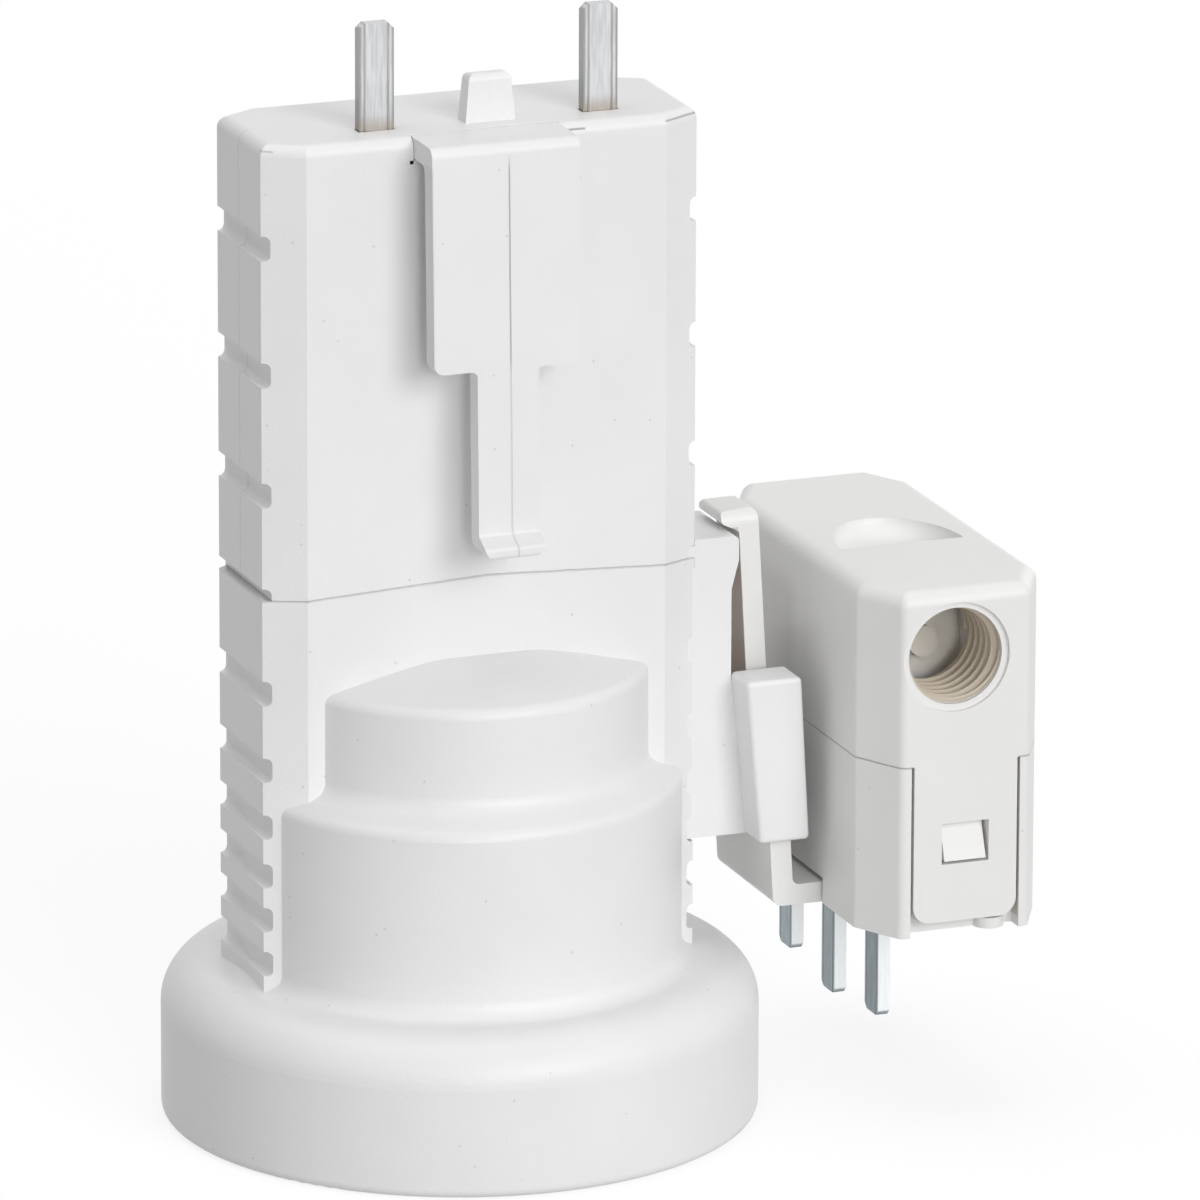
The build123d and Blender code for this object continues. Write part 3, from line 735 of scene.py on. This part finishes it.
@dataclass(frozen=True)
class Webs:
    """The sizes of the thin webs that close what the photograph shows closed.

    Attributes:
        edge, steps: The radius of the head's top edge, and the straight steps that make it.
        seat_low, seat_sill: The foot of the lever's seat, and the top of the web there.
        seat_depth: How far back the seat's webs reach.
        slot_half, plate_half: Half the widths of the lever's slot and of its room in it.
        fin_gap: The gap between head and fin, which the key fills.
        fin_top, fin_front, fin_back: How far the key reaches.
        notch, notch_depth: The height above the seam and the depth of the lowest notch.
        play: The slit that stays open.
        relief: Where the fin's relief lies.
        foot_low, foot_high, foot_width, foot_depth: The size of the web at the fin's foot.
    """

    edge: float = 1.0
    steps: int = 6
    seat_low: float = 83.38
    seat_sill: float = 83.68
    seat_depth: float = 1.0
    slot_half: float = 6.76
    plate_half: float = 6.45
    fin_gap: float = 0.11
    fin_top: float = 48.45
    fin_front: float = -4.79
    fin_back: float = 3.39
    notch: float = 1.0
    notch_depth: float = 0.64
    play: float = 0.03
    relief: float = 22.29
    foot_low: float = 34.2
    foot_high: float = 36.4
    foot_width: float = 0.3
    foot_depth: float = 0.6


def add_slab(mesh_maker: bmesh.types.BMesh, outline: list[tuple[float, float]], across: Across,
             low: float, high: float) -> None:
    """Add the slab that an outline makes across one direction.

    Args:
        mesh_maker: The bmesh that the slab goes to.
        outline: The outline's corners, by the other two coordinates in their order.
        across: The direction across the outline.
        low: Where the slab starts.
        high: Where it ends.
    """
    def at(corner: tuple[float, float], depth: float) -> Vector:
        """Return a corner of the outline at a depth, in metres."""
        return Vector((*corner[:across.value], depth, *corner[across.value:])) * MM

    face = mesh_maker.faces.new([mesh_maker.verts.new(at(corner, low)) for corner in outline])
    pushed = bmesh.ops.extrude_face_region(mesh_maker, geom=[face])["geom"]
    corners = [piece for piece in pushed if isinstance(piece, bmesh.types.BMVert)]
    bmesh.ops.translate(mesh_maker, vec=at((0.0, 0.0), high - low), verts=corners)


@dataclass
class Holder:
    """The housing with its ring and round steps, and the head on it."""

    sizes: HeadSizes = field(default_factory=HeadSizes)
    lines: HeadLines = field(default_factory=HeadLines)
    webs: Webs = field(default_factory=Webs)

    def dress(self, tools: Toolbox) -> None:
        """Give the housing, the head and the front lever their finishes, and add the webs.

        Args:
            tools: The shared node groups.
        """
        s, lines = self.sizes, self.lines
        low, high = s.seam - lines.seam_reach, s.seam + lines.seam_reach
        seam = tuple(Mark(Across.GABLE, s.seam + s.seam_rise,
                          Box((left, s.front - lines.past, low), (right, s.back + lines.past, high),
                              lines.seam_soft), width=0.14, dark=dark, deep=0.08)
                     for left, right, dark in ((-s.flat_half, s.flat_half, lines.seam_dark),
                                               (-s.half_width, -s.flat_half, lines.seam_left_dark),
                                               (s.flat_half, s.half_width, lines.seam_dark)))
        put_on("lower_housing", WHITE.material(tools, "housing", seam))
        inner, outer = s.half_width - lines.parting_depth, s.half_width + lines.past
        sides = [Box((low, s.parting - lines.past, s.seam + lines.parting_gap),
                     (high, s.parting + lines.past, s.top))
                 for low, high in ((-outer, -inner), (inner, outer))]
        parting = tuple(Mark(Across.Y, s.parting, side, width=0.11, dark=0.22, deep=0.04)
                        for side in sides)
        flash = tuple(Mark(Across.Z, s.top - lines.flash_drop,
                           Box((left, s.front - lines.past, s.top - lines.flash_high),
                               (right, s.front + lines.flash_deep, s.top), lines.flash_soft),
                           width=0.13, dark=dark, deep=0.05) for left, right, dark in lines.flash)
        for node, label in (("head_front_shell", "head_front"), ("head_rear_shell", "head_rear")):
            put_on(node, WHITE.material(tools, label, (*seam, *parting, *flash)))
        mould = (Mark(Across.X, lines.mould, lines.mould_low, width=0.1, dark=0.12, deep=0.05),
                 Mark(Across.X, lines.mould, lines.mould_high, width=0.1, dark=0.5, deep=0.06))
        # The lever's plate gets the painted shade on its left side.
        put_on("front_lever", WHITE.material(tools, "lever", mould, (lines.lever_side_shade,)))
        trim = self.trim()
        trim.data.materials.append(WHITE.material(tools, "trim"))
        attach(trim, "root")
        LOG.info("trim: %d faces", len(trim.data.polygons))

    def trim(self) -> bpy.types.Object:
        """Build the thin webs at the lever's seat, at the notch beside the fin and at its foot.

        Returns:
            The webs' object, with its mesh in place.
        """
        s, t = self.sizes, self.webs
        mesh_maker = bmesh.new()
        rounding = [(s.front + t.edge - t.edge * math.cos(a), s.top - t.edge + t.edge * math.sin(a))
                    for a in (math.radians(step * 90 / t.steps) for step in range(t.steps + 1))]
        cheek = [(s.front, t.seat_low), *rounding, (s.front + t.seat_depth, t.seat_low)]
        for low, high in ((-t.slot_half, -t.plate_half), (t.plate_half, t.slot_half)):
            add_slab(mesh_maker, cheek, Across.X, low, high)
        rear = s.front + t.seat_depth
        sill = [(s.front, t.seat_low), (s.front, t.seat_sill), (rear, t.seat_sill),
                (rear, t.seat_low)]
        add_slab(mesh_maker, sill, Across.X, -t.slot_half, t.slot_half)
        side, out = s.half_width, s.half_width + t.fin_gap
        key = [(side, s.seam - s.seam_rise), (out, s.seam - s.seam_rise), (out, t.fin_top),
               (side, t.fin_top), (side, s.seam + t.notch),
               (side - t.notch_depth, s.seam + t.notch),
               (side - t.notch_depth, s.seam + t.play), (side, s.seam + t.play)]
        add_slab(mesh_maker, key, Across.Y, t.fin_front, t.fin_back)
        foot = [(t.relief, t.foot_low), (t.relief + t.foot_width, t.foot_low),
                (t.relief + t.play, t.foot_high), (t.relief, t.foot_high)]
        add_slab(mesh_maker, foot, Across.Y, t.fin_front, t.fin_front + t.foot_depth)
        bmesh.ops.recalc_face_normals(mesh_maker, faces=mesh_maker.faces)
        return finished("trim", mesh_maker)


@dataclass
class Contacts:
    """The blades, the screw shell and the strips that join them.

    Attributes:
        head_root, plug_root: The heights where the head's and the plug's blades come out.
    """

    head_root: float = 85.6
    plug_root: float = 16.55

    def dress(self, tools: Toolbox) -> None:
        """Give every metal piece and the carrier their finishes.

        Args:
            tools: The shared node groups.
        """
        for node in ("head_blade_left", "head_blade_right"):
            metal = BLADE.material(tools, node, Across.X, middle_of(node).x, self.head_root)
            put_on(node, metal)
        for node in ("plug_blade_line", "plug_blade_earth", "plug_blade_neutral"):
            metal = DULL_BLADE.material(tools, node, Across.Y, middle_of(node).y, self.plug_root)
            put_on(node, metal)
        brass = BRASS.material(tools, "parts")
        for node in ("screw_shell", "contact_foot", "centre_contact", "line_busbar",
                     "neutral_busbar", "terminal_line", "terminal_earth", "terminal_neutral"):
            put_on(node, brass)
        steel = STEEL.material(tools, "fixings")
        for node in ("carrier_rivets", "terminal_screws"):
            put_on(node, steel)
        put_on("contact_carrier", PRESSED.material(tools, "carrier"))


@dataclass
class LuminairePlug:
    """The stored plug with its threaded cable entry.

    Attributes:
        left, right, front: The plug's left side, right side and front.
        past: How far the box of a mark or tint reaches past a surface.
        seam, seam_reach, seam_soft: The height where cover and base meet, and its line's box.
        tab_left, tab_right, tab_gap: The sides of the front snap tab, and the gap beside it.
        entry_x, entry_height, entry_radius: The cable entry's middle and its radius.
        crest_radius, crest_half: The radius and half the width of its thread's crest.
        flank, sunk: Half the thread's foot, as a share of the pitch, and its depth in the wall.
        recess: How far behind the front the thread starts.
        pitch, turns, steps_per_turn: Its pitch, its turns, and the straight steps of each.
        runout: The share of a pitch over which its crest rises.
        bore, bore_soft: The tinted stretches of the entry, each with its start, end, colour and
            strength, and how soft their ends are.
        lever_shadow: A painted shadow high on the cover's left side, where the lever shades it.
        slit_offsets: Where the slits beside the tab start, from the tab's two sides.
        slit_width, slit_height, slit_front, slit_back, slit_soft: The slits' boxes.
        slit_colour, slit_share: Their colour and its strength.
        limb_shade: A brownish painted shade on the side of the lever's limb that the channel holds.
        hook_line: A broken dark line under the lever's hook.
    """

    left: float = 29.6
    right: float = 45.7
    front: float = -19.1
    past: float = 1.0
    seam: float = 31.35
    seam_reach: float = 0.6
    seam_soft: float = 0.1
    tab_left: float = 33.05
    tab_right: float = 42.25
    tab_gap: float = 0.1
    entry_x: float = 36.75
    entry_height: float = 40.55
    entry_radius: float = 4.15
    crest_radius: float = 3.8
    crest_half: float = 0.08
    flank: float = 0.42
    sunk: float = 0.03
    recess: float = 0.4
    pitch: float = 1.15
    turns: int = 6
    runout: float = 0.35
    steps_per_turn: int = 48
    bore: tuple[tuple[float, float, Colour, float], ...] = (
        (0.9, 8.0, (0.68, 0.59, 0.47), 0.85),
        (8.2, 12.0, (0.86, 0.82, 0.74), 0.7),
    )
    bore_soft: float = 0.2
    # A painted shadow: the cover's left side is darkened where the lever shades it.
    lever_shadow: Tint = Tint(Box((28.6, 1.0, 34.0), (29.7, 20.0, 41.0), 3.0), (0.50, 0.49, 0.46), 0.4)
    slit_offsets: tuple[float, float] = (-0.28, -0.02)
    slit_width: float = 0.3
    slit_height: float = 13.9
    slit_front: float = 0.35
    slit_back: float = 1.5
    slit_soft: float = 0.1
    slit_colour: Colour = (0.50, 0.42, 0.33)
    slit_share: float = 0.6
    # A painted shade: the lever limb's side, seen through the gap by the fin, is darkened and
    # browned.
    limb_shade: Tint = Tint(Box((22.8, -3.15, 33.5), (24.4, 2.2, 47.6), 0.12), (0.58, 0.45, 0.37), 0.8)
    # A dark line under the lever's hook, with a noise taking parts of it away.
    hook_line: Tint = Tint(Box((20.0, -7.5, 48.2), (23.4, 6.5, 48.75), 0.08), (0.35, 0.26, 0.20), 0.6,
                      broken=0.5)

    def dress(self, tools: Toolbox) -> None:
        """Give cover, base, lever and thread their finishes.

        Args:
            tools: The shared node groups.
        """
        seam = (self._seam(self.left - self.past, self.tab_left - self.tab_gap),
                self._seam(self.tab_right + self.tab_gap, self.right + self.past))
        x, y, z, r = self.entry_x, self.front, self.entry_height, self.entry_radius
        bore = tuple(Tint(Box((x - r, y + start, z - r), (x + r, y + end, z + r), self.bore_soft),
                          colour, share) for start, end, colour, share in self.bore)
        # The cover carries the painted shadow beside the lever.
        cover = IVORY.material(tools, "plug_cover", seam, (*bore, self.lever_shadow))
        put_on("plug_cover", cover)
        slits = tuple(Tint(Box((left, y + self.slit_front, self.seam - self.slit_height),
                               (left + self.slit_width, y + self.slit_back, self.seam),
                               self.slit_soft), self.slit_colour, self.slit_share)
                      for left in (self.tab_left + self.slit_offsets[0],
                                   self.tab_right + self.slit_offsets[1]))
        put_on("plug_base", IVORY.material(tools, "plug_base", seam, slits))
        # The lever gets the painted shade on its limb and the dark line under its hook.
        put_on("plug_lever", IVORY.material(tools, "plug_lever", (), (self.limb_shade, self.hook_line)))
        thread = self.thread()
        thread.data.materials.append(cover)
        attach(thread, "root")
        LOG.info("cable_thread: %d faces", len(thread.data.polygons))

    def _seam(self, left: float, right: float) -> Mark:
        """Return a stretch of the line where the plug's cover meets its base."""
        room = Box((left, self.front - self.past, self.seam - self.seam_reach),
                   (right, -self.front, self.seam + self.seam_reach), self.seam_soft)
        return Mark(Across.Z, self.seam, room, width=0.12, dark=0.5, deep=0.06)

    def thread(self) -> bpy.types.Object:
        """Build the ridge that winds round the cable entry.

        Returns:
            The thread's object, with its mesh in place.
        """
        mesh_maker = bmesh.new()
        flank = self.flank * self.pitch
        foot = self.entry_radius + self.sunk
        outline = ((foot, -flank), (self.crest_radius, -self.crest_half),
                   (self.crest_radius, self.crest_half), (foot, flank))
        corners = [mesh_maker.verts.new((radius * MM, along * MM, 0)) for radius, along in outline]
        face = mesh_maker.faces.new(corners)
        steps = self.turns * self.steps_per_turn
        bmesh.ops.spin(mesh_maker, geom=[*corners, *face.edges, face], cent=(0, 0, 0),
                       axis=(0, 1, 0), dvec=(0, self.turns * self.pitch * MM / steps, 0),
                       angle=2 * math.pi * self.turns, steps=steps, use_merge=False,
                       use_duplicate=False)
        for corner in mesh_maker.verts:
            self._ease(corner)
        start = Vector((self.entry_x, self.front + self.recess + flank, self.entry_height)) * MM
        bmesh.ops.translate(mesh_maker, vec=start, verts=mesh_maker.verts)
        bmesh.ops.recalc_face_normals(mesh_maker, faces=mesh_maker.faces)
        return finished("cable_thread", mesh_maker)

    def _ease(self, corner: bmesh.types.BMVert) -> None:
        """Let the ridge's crest rise out of the wall over the first part of a turn.

        Args:
            corner: A corner of the ridge, which is moved.
        """
        radius = math.hypot(corner.co.x, corner.co.z)
        if radius < self.entry_radius * MM:
            share = min(1.0, max(0.0, corner.co.y / (self.runout * self.pitch * MM)))
            wanted = self.entry_radius - (self.entry_radius - self.crest_radius) * share
            corner.co.x *= wanted * MM / radius
            corner.co.z *= wanted * MM / radius


def finished(name: str, mesh_maker: bmesh.types.BMesh) -> bpy.types.Object:
    """Turn a bmesh into an object of the scene.

    Args:
        name: The piece's name.
        mesh_maker: The bmesh, which is freed.

    Returns:
        The new object.
    """
    mesh = bpy.data.meshes.new(name)
    mesh_maker.to_mesh(mesh)
    mesh_maker.free()
    piece = bpy.data.objects.new(name, mesh)
    bpy.context.scene.collection.objects.link(piece)
    return piece


@dataclass
class Studio:
    """The floor, the lamps, the surroundings and the camera.

    Attributes:
        floor_half, floor_gap: Half the floor's width, and how far below the object it lies.
        floor_rough, bounce, glow: Its roughness, shade and own light, where it only gives light.
        seen_shade, seen_glow: Its shade and own light where it is seen.
        azimuth, elevation, roll: The camera's direction and its lean, in degrees.
        distance, aim_height, aim_right, aim_up: The point it looks at, and how far off that is.
        focal, sensor: The focal length and the width of the sensor.
        near, far: What the camera sees, in metres.
        world: The strength of the plain light from all round.
        lamps: Each lamp's name, the direction towards it, its strength and its angle in degrees.
    """

    floor_half: float = 3000.0
    azimuth: float = -20.875
    elevation: float = 16.364
    distance: float = 1098.32
    focal: float = 397.75
    sensor: float = 36.0
    roll: float = 0.184
    aim_height: float = 45.0
    aim_right: float = 11.614
    aim_up: float = -1.023
    near: float = 0.05
    far: float = 20.0
    world: float = 0.32
    bounce: float = 0.26
    glow: float = 0.22
    seen_shade: float = 0.26
    seen_glow: float = 0.78
    floor_rough: float = 0.9
    floor_gap: float = 0.02
    lamps: tuple[tuple[str, Point, float, float], ...] = (
        ("key", (0.25, -0.90, 0.42), 1.25, 30.0),
        ("front", (-0.12, -0.97, 0.20), 0.58, 14.0),
        ("top", (-0.10, 0.15, 1.0), 0.98, 50.0),
        ("back", (0.80, 0.58, 0.22), 0.3, 40.0),
    )

    def build(self) -> None:
        """Build everything that stands round the object."""
        self._surroundings()
        self._floor()
        for name, toward, strength, angle in self.lamps:
            self._lamp(name, toward, strength, angle)
        self._camera()
        LOG.info("studio: floor, %d lamps and camera", len(self.lamps))

    @staticmethod
    def _seen(wires: Wiring) -> Socket:
        """Return 1 for camera, glossy and transmission rays."""
        camera, glossy, passed = (wires.add("ShaderNodeLightPath").outputs[f"Is {kind} Ray"]
                                  for kind in ("Camera", "Glossy", "Transmission"))
        return wires.sum(Sum.MAXIMUM, wires.sum(Sum.MAXIMUM, camera, glossy), passed)

    def _surroundings(self) -> None:
        """Set the world: plain light on the object, and white where it is seen."""
        world = bpy.data.worlds.new("studio_world")
        bpy.context.scene.world = world
        world.use_nodes = True
        wires = Wiring(world.node_tree)
        extra = wires.sum(Sum.MULTIPLY, self._seen(wires), 1.0 - self.world)
        wires.fill(world.node_tree.nodes["Background"], Color=WHITE_LIGHT,
                   Strength=wires.sum(Sum.ADD, extra, self.world))

    def _floor(self) -> None:
        """Lay the plain white floor, which keeps a soft shadow and is clear from below."""
        mesh_maker = bmesh.new()
        bmesh.ops.create_grid(mesh_maker, x_segments=1, y_segments=1, size=self.floor_half * MM,
                              matrix=Matrix.Translation((0, 0, -self.floor_gap * MM)))
        floor = finished("floor", mesh_maker)
        material = bpy.data.materials.new("studio_floor")
        material.use_nodes = True
        wires = Wiring(material.node_tree)
        nodes = material.node_tree.nodes
        lights = wires.fill(nodes["Principled BSDF"], Roughness=self.floor_rough,
                            Base_Color=(self.bounce, self.bounce, self.bounce, 1.0),
                            Emission_Color=WHITE_LIGHT, Emission_Strength=self.glow)
        shade = (self.seen_shade, self.seen_shade, self.seen_shade, 1.0)
        matt = wires.join("ShaderNodeBsdfDiffuse", shade)
        glow = wires.join("ShaderNodeEmission", WHITE_LIGHT, self.seen_glow)
        seen = wires.join("ShaderNodeAddShader", matt, glow)
        above = wires.join("ShaderNodeMixShader", self._seen(wires), lights.outputs[0], seen)
        clear = wires.add("ShaderNodeBsdfTransparent").outputs[0]
        below = wires.add("ShaderNodeNewGeometry").outputs["Backfacing"]
        wires.fill(nodes["Material Output"],
                   Surface=wires.join("ShaderNodeMixShader", below, above, clear))
        floor.data.materials.append(material)

    @staticmethod
    def _lamp(name: str, toward: Point, strength: float, angle: float) -> None:
        """Hang one soft lamp.

        Args:
            name: The lamp's name.
            toward: The direction from the object to the lamp.
            strength: Its strength.
            angle: How wide it looks from the object, in degrees.
        """
        lamp = bpy.data.lights.new(name, "SUN")
        lamp.energy = strength
        lamp.angle = math.radians(angle)
        holder = bpy.data.objects.new(name, lamp)
        holder.rotation_euler = Vector(toward).to_track_quat("Z", "Y").to_euler()
        bpy.context.scene.collection.objects.link(holder)

    def _camera(self) -> None:
        """Set the camera to the photograph's place, direction and lens."""
        turn, tilt = math.radians(self.azimuth), math.radians(self.elevation)
        back = Vector((math.sin(turn) * math.cos(tilt), -math.cos(turn) * math.cos(tilt),
                       math.sin(tilt)))
        right = Vector((math.cos(turn), math.sin(turn), 0))
        up = back.cross(right)
        lean = math.radians(self.roll)
        right, up = (right * math.cos(lean) + up * math.sin(lean),
                     up * math.cos(lean) - right * math.sin(lean))
        target = Vector((0, 0, self.aim_height)) + right * self.aim_right + up * self.aim_up
        place = (target + back * self.distance) * MM
        lens = bpy.data.cameras.new("camera")
        lens.lens = self.focal
        lens.sensor_width = self.sensor
        lens.clip_start = self.near
        lens.clip_end = self.far
        camera = bpy.data.objects.new("camera", lens)
        turned = Matrix((right, up, back)).transposed().to_4x4()
        camera.matrix_world = Matrix.Translation(place) @ turned
        bpy.context.scene.collection.objects.link(camera)
        bpy.context.scene.camera = camera


def main() -> None:
    """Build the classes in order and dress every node."""
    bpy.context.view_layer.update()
    tools = Toolbox()
    for part in (Holder(), Contacts(), LuminairePlug()):
        part.dress(tools)
    Studio().build()
    bpy.context.scene.view_settings.view_transform = "Standard"


logging.basicConfig(level=logging.INFO, format="%(name)s: %(message)s")
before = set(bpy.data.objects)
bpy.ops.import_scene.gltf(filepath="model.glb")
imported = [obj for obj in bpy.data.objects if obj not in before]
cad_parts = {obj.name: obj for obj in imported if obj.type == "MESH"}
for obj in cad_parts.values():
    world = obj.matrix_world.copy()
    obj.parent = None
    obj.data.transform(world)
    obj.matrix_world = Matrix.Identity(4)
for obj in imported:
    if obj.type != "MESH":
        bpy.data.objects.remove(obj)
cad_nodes: dict[str, bpy.types.Object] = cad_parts

if __name__ == "__main__":
    main()
